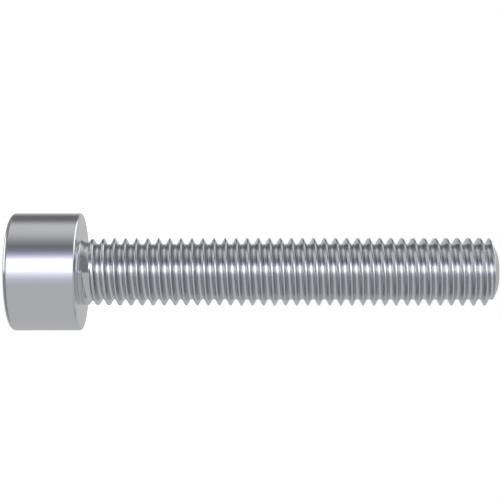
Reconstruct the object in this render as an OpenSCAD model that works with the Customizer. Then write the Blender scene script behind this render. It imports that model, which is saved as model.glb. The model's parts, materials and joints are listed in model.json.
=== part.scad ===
// Socket head cap screw with a metric coarse thread along its whole shank.
// It stands on its head: the socket's face is on z = 0 and the tip points up.

/* [Head] */
// Diameter of the cylindrical head
head_d = 8.5; // [8:0.1:10]
// Height of the head
head_h = 5; // [4.5:0.1:7]
// Rounding of the edge round the socket's face
head_edge_r = 0.3; // [0.1:0.05:0.8]
// Chamfer round the bearing face
rim_chamfer = 0.1; // [0.05:0.05:0.3]

/* [Socket] */
// Width of the hexagon across its flats
socket_af = 4.05; // [3:0.05:5]
// Depth of the hexagon's flats
socket_h = 2.5; // [1.5:0.1:3]
// Depth of the blunt cone that the punch leaves below the flats
socket_floor_h = 0.5; // [0.2:0.05:0.8]
// Diameter of the flat at the bottom of that cone
socket_floor_d = 1; // [0.4:0.1:2]
// Width of the countersink outside the hexagon's corners
socket_mouth_w = 0.12; // [0.05:0.01:0.3]

/* [Shank] */
// Length from the bearing face to the tip
shank_l = 30; // [12:1:45]
// Height of the plain neck under the head
neck_h = 0.08; // [0.05:0.01:0.5]
// How far the neck stands out past the thread's crests
neck_proud = 0.02; // [0.01:0.01:0.1]
// Length of the chamfer at the tip
tip_chamfer_h = 0.5; // [0.2:0.05:1]
// How far inside the thread's roots the flat end of the tip lies
tip_inset = 0.54; // [0.02:0.01:0.8]

/* [Thread] */
// Diameter over the crests, a little under the nominal 5 as on every real screw
thread_d = 4.9; // [4.5:0.05:5.2]
// Distance from crest to crest
pitch = 0.8; // [0.65:0.05:1]
// Depth of the groove
thread_depth = 0.44; // [0.3:0.01:0.48]
// Width of the flat on the crests
crest_w = 0.1; // [0.05:0.01:0.15]
// Turns over which the groove reaches its full depth, going from the head
runout_turns = 1.75; // [0.5:0.25:3]
// Facets in one turn of the thread
turn_facets = 24; // [16:2:28]

/* [Hidden] */
$fn = 96;

// the cuts reach this far past the faces that they open
cut_past = 1;

thread_foot = head_h + neck_h / 2;
tip_top = head_h + shank_l;
thread_r = thread_d / 2;
tip_r = thread_r - thread_depth - tip_inset;

// metric flanks stand 60 degrees apart, so each leans 30 degrees
flank_lean = 30;
flank_w = thread_depth * tan(flank_lean);
root_w = pitch - crest_w - 2 * flank_w;

// a section of the groove has a corner at each end of both flanks
groove_ends = 4;

// a hexagon's corners lie this angle to each side of the middle of its flats
hex_sides = 6;
hex_half = 180 / hex_sides;

// points closer than this are the same one
same_place = 0.000001;

// Section of the head, turned round the axis: the outer edge of the socket's face
// is rounded and the rim of the bearing face has a chamfer.
module head_section() {
  head_r = head_d / 2;
  square([head_r - head_edge_r, head_edge_r]);
  translate([head_r - head_edge_r, head_edge_r]) intersection() {
    circle(head_edge_r);
    translate([0, -head_edge_r]) square(head_edge_r);
  }
  polygon([
    [0, head_edge_r],
    [head_r, head_edge_r],
    [head_r, head_h - rim_chamfer],
    [head_r - rim_chamfer, head_h],
    [0, head_h]
  ]);
}

// The punched socket: a countersunk mouth, the hexagon and a blunt cone below it.
module socket() {
  corner_r = socket_af / 2 / cos(hex_half);
  mouth_r = corner_r + socket_mouth_w;
  mouth_h = mouth_r - socket_af / 2;
  translate([0, 0, -cut_past]) rotate(hex_half)
    cylinder(r = corner_r, h = socket_h + cut_past, $fn = hex_sides);
  translate([0, 0, -cut_past])
    cylinder(r1 = mouth_r + cut_past, r2 = socket_af / 2, h = mouth_h + cut_past);
  translate([0, 0, socket_h])
    cylinder(d1 = socket_af, d2 = socket_floor_d, h = socket_floor_h);
}

// How much of its depth the groove has after this many turns from the bearing face.
// It deepens fast at first and then slower, as the dies press more metal aside.
function groove_share(turn) = pow(max(0, min(1, turn / runout_turns)), 1 / 3);

// Radius of the tip's chamfer at a height, which limits the thread there.
function chamfer_r(z) =
  let (past = max(0, z - (tip_top - tip_chamfer_h)) / tip_chamfer_h)
  thread_r - past * (thread_r - tip_r);

// A corner of the thread's section: its angle, its height and how deep it is cut.
// What would lie below the middle of the neck or past the tip is brought back to it.
function thread_point(angle, z, cut) =
  let (
    height = max(thread_foot, min(tip_top, z)),
    depth = height > thread_foot ? cut : 0,
    r = min(thread_r - depth, chamfer_r(height))
  )
  [r * cos(angle), r * sin(angle), height];

// The four corners of the section after a number of turns: where the groove leaves
// a crest, its root, and where it meets the next crest. A shallow root keeps the
// slope of the flank on the tip's side.
function groove_corners(turn) =
  let (
    angle = 360 * turn,
    share = groove_share(turn),
    centre = head_h + pitch * turn,
    crest_up = centre + root_w / 2 + flank_w,
    root_up = crest_up - flank_w * share,
    root_down = root_up - root_w,
    crest_down = centre - root_w / 2 - flank_w,
    cut = thread_depth * share
  )
  [
    thread_point(angle, crest_down, 0),
    thread_point(angle, root_down, cut),
    thread_point(angle, root_up, cut),
    thread_point(angle, crest_up, 0)
  ];

// The threaded shank is one closed surface. Four lines wind up the shank along the
// groove's corners, strips join each line to the next, and the last line of a turn
// meets the first line of the turn above across the crest. The foot closes inside
// the head, half way between the socket's floor and the bearing face.
module threaded_shank() {
  first = -turn_facets;
  last = ceil((shank_l / pitch + 1) * turn_facets);
  steps = last - first;
  corners = [for (k = [first : last]) each groove_corners(k / turn_facets)];
  foot_centre = len(corners);
  tip_centre = foot_centre + 1;
  foot_z = (head_h + socket_h + socket_floor_h) / 2;
  points = concat(corners, [[0, 0, foot_z], [0, 0, tip_top]]);
  flanks = [for (k = [0 : steps - 1], j = [0 : groove_ends - 2])
    let (a = groove_ends * k + j, b = a + groove_ends)
    each [[a, b + 1, b], [a, a + 1, b + 1]]];
  crests = [for (k = [0 : steps - 1 - turn_facets])
    let (
      a = groove_ends * (k + 1) - 1,
      b = a + groove_ends,
      above = groove_ends * (k + turn_facets)
    )
    each [[a, above + groove_ends, b], [a, above, above + groove_ends]]];
  foot = [for (k = [0 : turn_facets - 1])
    [groove_ends * k, groove_ends * (k + 1), foot_centre]];
  tip = [for (k = [steps - turn_facets : steps - 1])
    [groove_ends * (k + 1) - 1, tip_centre, groove_ends * (k + 2) - 1]];
  // corners that were brought back to an end lie on each other there
  function apart(a, b) = norm(points[a] - points[b]) > same_place;
  faces = [for (f = concat(flanks, crests, foot, tip))
    if (apart(f[0], f[1]) && apart(f[1], f[2]) && apart(f[2], f[0])) f];
  polyhedron(points, faces, convexity = 10);
}

module cap_screw() {
  color("silver") union() {
    difference() {
      rotate_extrude() head_section();
      socket();
    }
    translate([0, 0, head_h - rim_chamfer])
      cylinder(r = thread_r + neck_proud, h = rim_chamfer + neck_h);
    threaded_shank();
  }
}

cap_screw();
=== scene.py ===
"""A socket head cap screw with a metric coarse thread, standing on its head in a soft studio."""

import json
import math

import bmesh
import bpy
from mathutils import Matrix, Vector


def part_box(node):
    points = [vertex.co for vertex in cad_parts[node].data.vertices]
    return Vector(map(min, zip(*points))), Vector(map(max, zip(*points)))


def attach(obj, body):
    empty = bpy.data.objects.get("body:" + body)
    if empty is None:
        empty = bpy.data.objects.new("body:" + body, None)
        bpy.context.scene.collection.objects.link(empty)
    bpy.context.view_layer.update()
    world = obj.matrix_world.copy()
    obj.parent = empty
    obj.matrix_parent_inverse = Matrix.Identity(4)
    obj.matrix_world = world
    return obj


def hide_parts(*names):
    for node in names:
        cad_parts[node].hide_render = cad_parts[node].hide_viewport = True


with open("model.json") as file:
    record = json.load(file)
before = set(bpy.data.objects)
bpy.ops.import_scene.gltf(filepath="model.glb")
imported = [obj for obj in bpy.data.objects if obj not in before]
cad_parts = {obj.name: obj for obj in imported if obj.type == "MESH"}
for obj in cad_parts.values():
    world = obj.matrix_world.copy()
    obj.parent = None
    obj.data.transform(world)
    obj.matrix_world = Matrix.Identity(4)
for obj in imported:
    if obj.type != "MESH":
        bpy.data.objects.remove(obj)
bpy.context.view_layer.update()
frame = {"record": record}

# The head. It is upset cold from the end of a steel wire in a round die, which leaves a smooth
# side, a rounded edge round the socket's face and a fine chamfer round the bearing face. The
# shapes of the screw are drawn in millimetres.
mm = 0.001
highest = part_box("cap_screw")[1]
mounts = {mount["name"]: mount for mount in frame["record"]["mounts"]}
head_r = highest.x / mm
head_h = mounts["bearing_face"]["pos_m"][2] / mm
head_edge_r = 0.3
head_edge_segments = 10
rim_chamfer = 0.08
rim_edge = 0.02
rim_segments = 3
face_hole_r = 2.8
turn_steps = 96
weld_gap = 0.0005


def draw_line(mesh, points):
    """Draws a line through points, each a radius and a height, and returns its corners."""
    corners = [mesh.verts.new((r, 0, z)) for r, z in points]
    for start, end in zip(corners, corners[1:]):
        mesh.edges.new((start, end))
    return corners


def round_corners(mesh, corners, cut, segments):
    """Rounds corners of a line, from cut before each to cut after it, and returns the new ones."""
    return bmesh.ops.bevel(mesh, geom=corners, offset=cut, offset_type="OFFSET",
                           segments=segments, profile=0.5, affect="VERTICES", material=-1)["verts"]


socket_af = 4.05
socket_mouth_w = 0.12
hex_sides = 6
hex_half = math.pi / hex_sides
mouth_r = socket_af / 2 / math.cos(hex_half) + socket_mouth_w

screw = bmesh.new()
outline = draw_line(screw, [
    (mouth_r, 0),
    (head_r, 0),
    (head_r, head_h),
    (face_hole_r, head_h),
])
round_corners(screw, [outline[1]], head_edge_r, head_edge_segments)
rim = round_corners(screw, [outline[2]], rim_chamfer, 1)
round_corners(screw, rim, rim_edge, rim_segments)
bmesh.ops.spin(screw, geom=screw.verts[:] + screw.edges[:], cent=(0, 0, 0), axis=(0, 0, 1),
               angle=2 * math.pi, steps=turn_steps, use_merge=True)

# The socket. A hexagonal punch is driven into the head while it is formed, so the walls are
# flat, the floor is a blunt cone below them, and a countersink leads in over the corners.
socket_h = 2.5
socket_floor_h = 0.5
socket_floor_r = 0.5
socket_step_w = 0.0405
socket_step_r = socket_af / 2 - socket_step_w


def next_ring(mesh, ring, place):
    """Extrudes a ring of edges to where place puts each angle, and returns the new ring."""
    made = bmesh.ops.extrude_edge_only(mesh, edges=ring)["geom"]
    for vert in [part for part in made if isinstance(part, bmesh.types.BMVert)]:
        angle = math.atan2(vert.co.y, vert.co.x)
        r, z = place(angle)
        vert.co = Vector((r * math.cos(angle), r * math.sin(angle), z))
    return [part for part in made if isinstance(part, bmesh.types.BMEdge) and part.is_boundary]


def hexagon_r(angle):
    """Distance from the axis to the hexagon's wall. A wall's middle lies at angle 0."""
    off_middle = (angle + hex_half) % (2 * hex_half) - hex_half
    return socket_af / 2 / math.cos(off_middle)


ring = [edge for edge in screw.edges if edge.is_boundary and edge.verts[0].co.z < weld_gap]
ring = next_ring(screw, ring, lambda angle: (hexagon_r(angle), mouth_r - hexagon_r(angle)))
ring = next_ring(screw, ring, lambda angle: (hexagon_r(angle), socket_h))
ring = next_ring(screw, ring, lambda angle: (socket_step_r, socket_h))
ring = next_ring(screw, ring, lambda angle: (socket_floor_r, socket_h + socket_floor_h))
bmesh.ops.edgeloop_fill(screw, edges=ring)

# The thread. Flat dies roll it into the shank: the metal that they press out of the groove rises
# into the crests. It is right-handed and has 60 degree flanks, narrow flats on the crests and
# rounded roots. One turn is drawn and then copied along the shank.
thread_r = mounts["thread"]["dims"]["r_mm"]
tip_top = highest.z / mm
pitch = 0.8
thread_depth = 0.44
crest_w = 0.1
flank_lean = math.radians(30)
crest_cut = 0.012
crest_segments = 2
root_cut = 0.045
root_segments = 4
flank_cuts = 3
flank_w = thread_depth * math.tan(flank_lean)
root_w = pitch - crest_w - 2 * flank_w

thread = bmesh.new()
section = draw_line(thread, [
    (thread_r, head_h - pitch / 2),
    (thread_r, head_h - root_w / 2 - flank_w),
    (thread_r - thread_depth, head_h - root_w / 2),
    (thread_r - thread_depth, head_h + root_w / 2),
    (thread_r, head_h + root_w / 2 + flank_w),
    (thread_r, head_h + pitch / 2),
])
round_corners(thread, [section[1], section[4]], crest_cut, crest_segments)
round_corners(thread, [section[2], section[3]], root_cut, root_segments)
flanks = [edge for edge in thread.edges if edge.calc_length() > thread_depth]
bmesh.ops.subdivide_edges(thread, edges=flanks, cuts=flank_cuts)
bmesh.ops.spin(thread, geom=thread.verts[:] + thread.edges[:], cent=(0, 0, 0), axis=(0, 0, 1),
               angle=2 * math.pi, steps=turn_steps, dvec=(0, 0, pitch / turn_steps))
bmesh.ops.translate(thread, verts=thread.verts, vec=(0, 0, -pitch))
spare_turns = 2
one_turn = thread.verts[:] + thread.edges[:] + thread.faces[:]
for turn in range(math.ceil((tip_top - head_h) / pitch) + spare_turns):
    copy = bmesh.ops.duplicate(thread, geom=one_turn)["geom"]
    verts = [part for part in copy if isinstance(part, bmesh.types.BMVert)]
    bmesh.ops.translate(thread, verts=verts, vec=(0, 0, pitch * (turn + 1)))
bmesh.ops.remove_doubles(thread, verts=thread.verts, dist=weld_gap)

# The ends of the thread. Towards the head the groove gets shallow and stops against a ramp, where
# the dies let go: their last bite left a short crease there, with a flat to each side of it and a
# swelling on the next ridge. The tip has a plain chamfer and a flat end.
runout_turns = 1.75
neck_r = 2.38
neck_taper = 0.03
# The crease: its place round the screw, and how far each flat reaches from it and fades out.
mark_step = 68
mark_turn = mark_step / turn_steps
long_flat = math.radians(25)
short_flat = math.radians(12)
flat_fade = math.radians(65)
# The long flat leans in towards the tip. It has its own radius this far from the head.
flat_lean = math.radians(15)
flat_mid_h = 0.2
# The ramp gets steeper on its way round to the crease. Past it a wall stands further towards the
# head, and the groove's floor is raised.
ramp_lean = math.radians(14)
ramp_lean_gain = math.radians(30)
wall_back = 0.3
floor_rise = 0.17
# The swelling lies before the crease, from this far up the ridge and a little below its crest.
swell_turns = 0.12
swell_z = 0.13
swell_low = 0.02
tip_chamfer_h = 0.5
tip_r = 1.47


def groove_share(turn):
    """How much of its depth the groove has after this many turns from the bearing face."""
    return min(max(turn / runout_turns, 0), 1) ** (1 / 3)


def first_groove_r(turn, z):
    """Radius of the first groove's floor, or of the ramp that leads down to it from the head."""
    share = groove_share(turn)
    floor_r = thread_r - thread_depth * share
    ramp_end = head_h + pitch * turn - root_w / 2 + (1 - share) * flank_w
    highest_r = neck_r + neck_taper * (z - head_h)
    past = 2 * math.pi * (turn - mark_turn)
    if past < 0:
        lean = ramp_lean + ramp_lean_gain * turn
        to_flat = math.cos(max(0, past + long_flat))
        flat_r = neck_r * math.cos(long_flat) + math.tan(flat_lean) * (head_h + flat_mid_h - z)
        flat_share = 1 - min(1, max(0, -past - long_flat) / flat_fade)
        highest_r = (highest_r + (flat_r - highest_r) * flat_share) / to_flat
        floor_r /= to_flat
    else:
        lean = math.pi / 2 - flank_lean
        left = (1 - turn) / (1 - mark_turn)
        ramp_end -= wall_back * left
        to_flat = math.cos(max(0, short_flat - past))
        flat_r = neck_r * math.cos(short_flat) / to_flat
        highest_r += (flat_r - highest_r) * max(0, 1 - past / flat_fade)
        floor_r = (floor_r + floor_rise * left) / to_flat
    return min(floor_r + max(0, ramp_end - z) * math.tan(lean), max(floor_r, highest_r))


def run_out(point):
    """Where a point of the full thread goes: shallower towards the head, chamfered at the tip."""
    angle = math.atan2(point.y, point.x) % (2 * math.pi)
    turn_here = angle / (2 * math.pi)
    turn = turn_here + round((point.z - head_h) / pitch - turn_here)
    share = groove_share(turn)
    depth = thread_r - math.hypot(point.x, point.y)
    r = thread_r - depth * share
    z = point.z
    groove_z = head_h + pitch * turn_here
    swollen = (mark_turn - swell_turns < turn_here < mark_turn
               and groove_z < z < groove_z + pitch / 2)
    if not swollen:
        z += (1 - share) * flank_w * depth / thread_depth
    if z < groove_z:
        r = first_groove_r(turn_here, z)
    elif z < groove_z + pitch / 2:
        r = max(r, first_groove_r(turn_here, z))
        if swollen and z > groove_z + swell_z:
            r = max(r, thread_r - swell_low)
    past_chamfer = max(0, z - (tip_top - tip_chamfer_h)) / tip_chamfer_h
    chamfer_r = thread_r - past_chamfer * (thread_r - tip_r)
    r = min(r, thread_r, neck_r + neck_taper * (z - head_h), chamfer_r)
    return Vector((r * math.cos(angle), r * math.sin(angle), z))


def slice_thread(height, side=None):
    """Cuts the thread's surface level at a height, and may take away what lies to one side."""
    sides = {side: True} if side else {}
    bmesh.ops.bisect_plane(thread, geom=thread.verts[:] + thread.edges[:] + thread.faces[:],
                           plane_co=(0, 0, height), plane_no=(0, 0, 1), dist=weld_gap, **sides)


for vert in thread.verts:
    vert.co = run_out(vert.co)
slice_thread(head_h, "clear_inner")
slice_thread(tip_top, "clear_outer")

# The neck and the joint with the head. A hair-thin fillet spreads the foot of the neck on to the
# bearing face, and the surface is then closed into one piece with the head.
neck_fillet = 0.06
fillet_rings = 3
for step in range(1, fillet_rings + 1):
    slice_thread(head_h + neck_fillet * (1 - math.cos(math.pi / 2 * step / fillet_rings)))
for vert in thread.verts:
    below = neck_fillet - (vert.co.z - head_h)
    if below > 0:
        r = math.hypot(vert.co.x, vert.co.y)
        wider = (r + neck_fillet - math.sqrt(max(0, neck_fillet ** 2 - below ** 2))) / r
        vert.co.x *= wider
        vert.co.y *= wider
rolled = bpy.data.meshes.new("rolled")
thread.to_mesh(rolled)
thread.free()
screw.from_mesh(rolled)
bpy.data.meshes.remove(rolled)


def open_edges(mesh, height):
    """The edges of the openings that lie at a height."""
    return [edge for edge in mesh.edges if edge.is_boundary
            and all(abs(vert.co.z - height) < weld_gap for vert in edge.verts)]


bmesh.ops.triangle_fill(screw, edges=open_edges(screw, head_h), use_beauty=True)
bmesh.ops.edgeloop_fill(screw, edges=open_edges(screw, tip_top))
bmesh.ops.remove_doubles(screw, verts=screw.verts, dist=weld_gap)
bmesh.ops.recalc_face_normals(screw, faces=screw.faces)
bmesh.ops.scale(screw, verts=screw.verts, vec=(mm, mm, mm))
for face in screw.faces:
    face.smooth = True

# The crease stays sharp. The rest is shaded smooth, with the flats kept flat.
crease_angle = 2 * math.pi * (mark_turn - 1)
crease_end = (head_h + pitch * mark_turn + root_w / 2 + flank_w) * mm
for edge in screw.edges:
    if all(abs(math.atan2(vert.co.y, vert.co.x) - crease_angle) < weld_gap
           and head_h * mm < vert.co.z < crease_end for vert in edge.verts):
        edge.smooth = False


def make_piece(name, mesh):
    """Puts a drawn mesh into the scene as a piece of its own."""
    data = bpy.data.meshes.new(name)
    mesh.to_mesh(data)
    mesh.free()
    piece = bpy.data.objects.new(name, data)
    bpy.context.scene.collection.objects.link(piece)
    return piece


screw_piece = make_piece("screw", screw)
flat_sides = screw_piece.modifiers.new("flat_sides", "WEIGHTED_NORMAL")
flat_sides.mode = "FACE_AREA"
flat_sides.keep_sharp = True
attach(screw_piece, "root")
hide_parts("cap_screw")

# The steel. Stainless steel that was tumbled bright after forming: a nearly white metal that
# mirrors its surroundings a little softly, with a slight cool tint. The grain that tumbling
# leaves is finer on a real screw, and is drawn this coarse so that it shows.


def from_hex(code):
    """The linear colour of an sRGB hex code."""
    parts = [int(code[i:i + 2], 16) / 255 for i in (0, 2, 4)]
    return [c / 12.92 if c < 0.04045 else ((c + 0.055) / 1.055) ** 2.4 for c in parts] + [1]


def start_material(name):
    """A new material without nodes, and its node tree."""
    material = bpy.data.materials.new(name)
    material.use_nodes = True
    material.node_tree.nodes.clear()
    return material, material.node_tree


def add_node(tree, kind, settings=None, inputs=None):
    """Adds a node with its settings. An input is a value or the output that is linked to it."""
    node = tree.nodes.new(kind)
    for name, value in (settings or {}).items():
        setattr(node, name, value)
    for name, value in (inputs or {}).items():
        if isinstance(value, bpy.types.NodeSocket):
            tree.links.new(value, node.inputs[name])
        else:
            node.inputs[name].default_value = value
    return node


grain_size = 0.3
grain_detail = 3
grain_low, grain_high = 0.3, 0.7
roughness_low, roughness_high = 0.12, 0.16
dent_h = 0.002
dent_strength = 0.1
steel, tree = start_material("tumbled_stainless_steel")
on_screw = add_node(tree, "ShaderNodeTexCoord")
grain = add_node(tree, "ShaderNodeTexNoise", inputs={
    "Vector": on_screw.outputs["Object"], "Scale": 1 / (grain_size * mm), "Detail": grain_detail})
polish = add_node(tree, "ShaderNodeMapRange", inputs={
    "Value": grain.outputs["Fac"], "From Min": grain_low, "From Max": grain_high,
    "To Min": roughness_low, "To Max": roughness_high})
dents = add_node(tree, "ShaderNodeBump", inputs={
    "Height": grain.outputs["Fac"], "Strength": dent_strength, "Distance": dent_h * mm})
surface = add_node(tree, "ShaderNodeBsdfPrincipled", inputs={
    "Base Color": from_hex("cfd0d5"), "Metallic": 1, "Roughness": polish.outputs["Result"],
    "Normal": dents.outputs["Normal"]})
add_node(tree, "ShaderNodeOutputMaterial", inputs={"Surface": surface.outputs["BSDF"]})
screw_piece.data.materials.append(steel)

# The floor. Pale matt card that the screw stands on. It is lit to white for the camera and keeps
# a faint shadow. It can be looked through from below, and the metal mirrors the studio past it.
# The studio is drawn in metres.
floor_r = 0.6
floor_sides = 64
floor_glow = 0.7
card = bmesh.new()
bmesh.ops.create_circle(card, cap_ends=True, radius=floor_r, segments=floor_sides)
floor = make_piece("floor", card)
floor.visible_glossy = False

paper, tree = start_material("matt_card")
rays = add_node(tree, "ShaderNodeLightPath")
sides = add_node(tree, "ShaderNodeNewGeometry")
matt = add_node(tree, "ShaderNodeBsdfDiffuse", inputs={"Color": from_hex("d8d8d8")})
glow = add_node(tree, "ShaderNodeEmission", inputs={"Strength": floor_glow})
lit = add_node(tree, "ShaderNodeAddShader", inputs={
    0: matt.outputs["BSDF"], 1: glow.outputs["Emission"]})
from_above = add_node(tree, "ShaderNodeMixShader", inputs={
    "Fac": rays.outputs["Is Camera Ray"], 1: matt.outputs["BSDF"], 2: lit.outputs["Shader"]})
from_below = add_node(tree, "ShaderNodeBsdfTransparent")
card_face = add_node(tree, "ShaderNodeMixShader", inputs={
    "Fac": sides.outputs["Backfacing"], 1: from_above.outputs["Shader"],
    2: from_below.outputs["BSDF"]})
add_node(tree, "ShaderNodeOutputMaterial", inputs={"Surface": card_face.outputs["Shader"]})
floor.data.materials.append(paper)

# The camera. It looks square at the screw's axis from the side, turned so that the screw lies
# across the picture with its head at the left. Pixels are those of a picture 500 wide and high.
picture_px = 500
px_per_mm = 13.79
foot_px = 13.2
axis_px = 271.8
square_px = 265.5
camera_d = 96
camera_turn = math.radians(254.7)
back = Vector((math.cos(camera_turn), math.sin(camera_turn), 0))
right = Vector((0, 0, 1))
up = back.cross(right)
along = (square_px - foot_px) / px_per_mm
above = (axis_px - picture_px / 2) / px_per_mm
camera_data = bpy.data.cameras.new("camera")
camera_data.lens = camera_data.sensor_width * camera_d * px_per_mm / picture_px
camera_data.shift_x = 0.5 - square_px / picture_px
camera_data.clip_start = 0.005
camera_data.clip_end = 10
camera = bpy.data.objects.new("camera", camera_data)
stand = (back * camera_d + right * along + up * above) * mm
camera.matrix_world = Matrix.Translation(stand) @ Matrix((right, up, back)).transposed().to_4x4()
bpy.context.scene.collection.objects.link(camera)
bpy.context.scene.camera = camera

# The tent. A ball of cloth hangs round the screw, out of the camera's sight, and lights it softly.
# It has a white window beside the camera, dark and pale panels, dark ends, and a lamp behind the
# tip. The polished metal mirrors all of it. Its angles are in degrees.
tent_r = 0.5
tent_subdivisions = 5
brightest = 2.40
# Round the screw, from the camera's side towards the picture's top: angle, brightness and tint.
panels = [
    (0, 1.50, "f8f8ff"),
    (6, 2.40, "ffffff"),
    (20, 2.40, "ffffff"),
    (28, 1.40, "ececff"),
    (35, 0.74, "e0e0ff"),
    (42, 0.33, "f0f0ff"),
    (51, 0.22, "ffffff"),
    (80, 0.70, "ffffff"),
    (91, 0.78, "ffffff"),
    (104, 0.74, "ffffff"),
    (121, 0.23, "ffffff"),
    (141, 0.20, "ffffff"),
    (153, 0.50, "ffffff"),
    (164, 0.62, "ffffff"),
    (200, 0.56, "ffffff"),
    (230, 0.63, "ffffff"),
    (336, 0.63, "ffffff"),
    (346, 0.84, "f1f1ff"),
    (353, 1.12, "f1f1ff"),
    (360, 1.50, "f8f8ff"),
]
# Past the screw's ends, in the top half: angle towards the tip, brightness and how much it covers.
high_ends_stop = 150
high_ends = [
    (-90, 1.70, 1),
    (-56, 1.70, 1),
    (-48, 0.32, 1),
    (-20, 0.32, 1),
    (-14, 0.32, 0),
    (14, 0.32, 0),
    (20, 0.32, 0.9),
    (24, 0.32, 0.9),
    (30, 1.30, 0.80),
    (45, 1.30, 0.80),
    (52, 0.32, 1),
    (90, 0.32, 1),
]
# The same in the bottom half.
low_ends_start = 235
low_ends = [
    (-90, 0.32, 1),
    (-28, 0.32, 1),
    (-18, 0.32, 0),
    (18, 0.32, 0),
    (28, 0.32, 1),
    (44, 0.32, 1),
    (50, 0.32, 0),
    (90, 0.32, 0),
]
# The lamp behind the tip: its brightness, lowest angle, and place and reach in shares of tent_r.
far_lamp = 1.70
far_lamp_low = 30
far_lamp_near = 0.1
far_lamp_from = 0.2
far_lamp_to = 0.72
ball = bmesh.new()
bmesh.ops.create_icosphere(ball, subdivisions=tent_subdivisions, radius=tent_r)
bmesh.ops.translate(ball, verts=ball.verts, vec=(0, 0, highest.z / 2))
tent = make_piece("tent", ball)
tent.visible_camera = False


def set_ramp(ramp, stops):
    """Gives a colour ramp its stops, each a place from 0 to 1 and a colour with its alpha."""
    for index, (at, colour) in enumerate(stops):
        stop = ramp.elements[index] if index < 2 else ramp.elements.new(at)
        stop.position = at
        stop.color = colour


cloth, tree = start_material("tent_cloth")
on_tent = add_node(tree, "ShaderNodeTexCoord")
centred = add_node(tree, "ShaderNodeVectorMath", {"operation": "SUBTRACT"}, {
    0: on_tent.outputs["Object"], 1: (0, 0, highest.z / 2)})
parts = add_node(tree, "ShaderNodeSeparateXYZ", inputs={"Vector": centred.outputs["Vector"]})
turned = add_node(tree, "ShaderNodeMath", {"operation": "ARCTAN2"}, {
    0: parts.outputs["Y"], 1: parts.outputs["X"]})
from_camera = add_node(tree, "ShaderNodeMath", {"operation": "SUBTRACT"}, {
    0: camera_turn, 1: turned.outputs["Value"]})
turns = add_node(tree, "ShaderNodeMath", {"operation": "DIVIDE"}, {
    0: from_camera.outputs["Value"], 1: 2 * math.pi})
way_round = add_node(tree, "ShaderNodeMath", {"operation": "FRACT"}, {0: turns.outputs["Value"]})
panel_colour = add_node(tree, "ShaderNodeValToRGB", inputs={"Fac": way_round.outputs["Value"]})
set_ramp(panel_colour.color_ramp, [
    (angle / 360, [c * level / brightest for c in from_hex(tint)[:3]] + [1])
    for angle, level, tint in panels])
sine = add_node(tree, "ShaderNodeMath", {"operation": "DIVIDE"}, {
    0: parts.outputs["Z"], 1: tent_r})
rise = add_node(tree, "ShaderNodeMath", {"operation": "ARCSINE"}, {0: sine.outputs["Value"]})
way_up = add_node(tree, "ShaderNodeMapRange", inputs={
    "Value": rise.outputs["Value"], "From Min": -math.pi / 2, "From Max": math.pi / 2})
high_end = add_node(tree, "ShaderNodeValToRGB", inputs={"Fac": way_up.outputs["Result"]})
set_ramp(high_end.color_ramp, [
    ((angle + 90) / 180, [level / brightest] * 3 + [cover]) for angle, level, cover in high_ends])
low_end = add_node(tree, "ShaderNodeValToRGB", inputs={"Fac": way_up.outputs["Result"]})
set_ramp(low_end.color_ramp, [
    ((angle + 90) / 180, [level / brightest] * 3 + [cover]) for angle, level, cover in low_ends])
in_high = add_node(tree, "ShaderNodeMath", {"operation": "LESS_THAN"}, {
    0: way_round.outputs["Value"], 1: high_ends_stop / 360})
in_low = add_node(tree, "ShaderNodeMath", {"operation": "GREATER_THAN"}, {
    0: way_round.outputs["Value"], 1: low_ends_start / 360})
low_cover = add_node(tree, "ShaderNodeMath", {"operation": "MULTIPLY"}, {
    0: in_low.outputs["Value"], 1: low_end.outputs["Alpha"]})
high_colour = add_node(tree, "ShaderNodeMixRGB", inputs={
    "Fac": high_end.outputs["Alpha"], "Color1": panel_colour.outputs["Color"],
    "Color2": high_end.outputs["Color"]})
low_colour = add_node(tree, "ShaderNodeMixRGB", inputs={
    "Fac": low_cover.outputs["Value"], "Color1": panel_colour.outputs["Color"],
    "Color2": low_end.outputs["Color"]})
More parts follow.
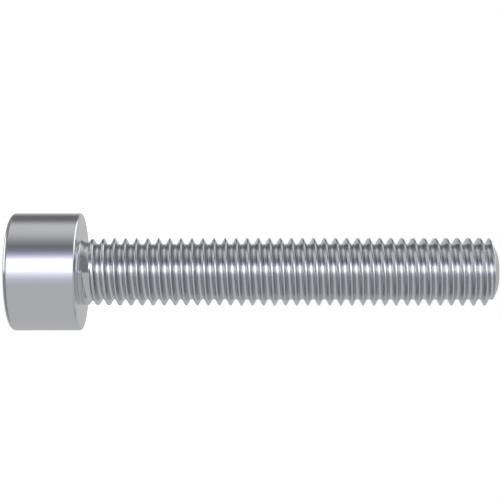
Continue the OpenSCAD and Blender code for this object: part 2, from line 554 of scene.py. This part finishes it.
cloth_colour = add_node(tree, "ShaderNodeMixRGB", inputs={
    "Fac": in_high.outputs["Value"], "Color1": low_colour.outputs["Color"],
    "Color2": high_colour.outputs["Color"]})
nearness = add_node(tree, "ShaderNodeVectorMath", {"operation": "DOT_PRODUCT"}, {
    0: centred.outputs["Vector"], 1: back})
is_far = add_node(tree, "ShaderNodeMath", {"operation": "LESS_THAN"}, {
    0: nearness.outputs["Value"], 1: far_lamp_near * tent_r})
is_high = add_node(tree, "ShaderNodeMath", {"operation": "GREATER_THAN"}, {
    0: rise.outputs["Value"], 1: math.radians(far_lamp_low)})
behind_tip = add_node(tree, "ShaderNodeMath", {"operation": "MULTIPLY"}, {
    0: is_far.outputs["Value"], 1: is_high.outputs["Value"]})
topness = add_node(tree, "ShaderNodeVectorMath", {"operation": "DOT_PRODUCT"}, {
    0: centred.outputs["Vector"], 1: up})
lamp_band = add_node(tree, "ShaderNodeMath", {"operation": "COMPARE"}, {
    0: topness.outputs["Value"], 1: (far_lamp_to + far_lamp_from) / 2 * tent_r,
    2: (far_lamp_to - far_lamp_from) / 2 * tent_r})
on_lamp = add_node(tree, "ShaderNodeMath", {"operation": "MULTIPLY"}, {
    0: behind_tip.outputs["Value"], 1: lamp_band.outputs["Value"]})
tent_colour = add_node(tree, "ShaderNodeMixRGB", inputs={
    "Fac": on_lamp.outputs["Value"], "Color1": cloth_colour.outputs["Color"],
    "Color2": [far_lamp / brightest] * 3 + [1]})
light = add_node(tree, "ShaderNodeEmission", inputs={
    "Color": tent_colour.outputs["Color"], "Strength": brightest})
add_node(tree, "ShaderNodeOutputMaterial", inputs={"Surface": light.outputs["Emission"]})
tent.data.materials.append(cloth)

# The world. Plain white, like a lit studio wall. It is what the camera sees behind the screw, and
# what a mirroring surface shows past the tent.
world = bpy.data.worlds.new("white")
bpy.context.scene.world = world
world.use_nodes = True
tree = world.node_tree
tree.nodes.clear()
white = add_node(tree, "ShaderNodeBackground", inputs={"Color": (1, 1, 1, 1), "Strength": 1})
add_node(tree, "ShaderNodeOutputWorld", inputs={"Surface": white.outputs["Background"]})

bpy.context.scene.view_settings.view_transform = "Standard"
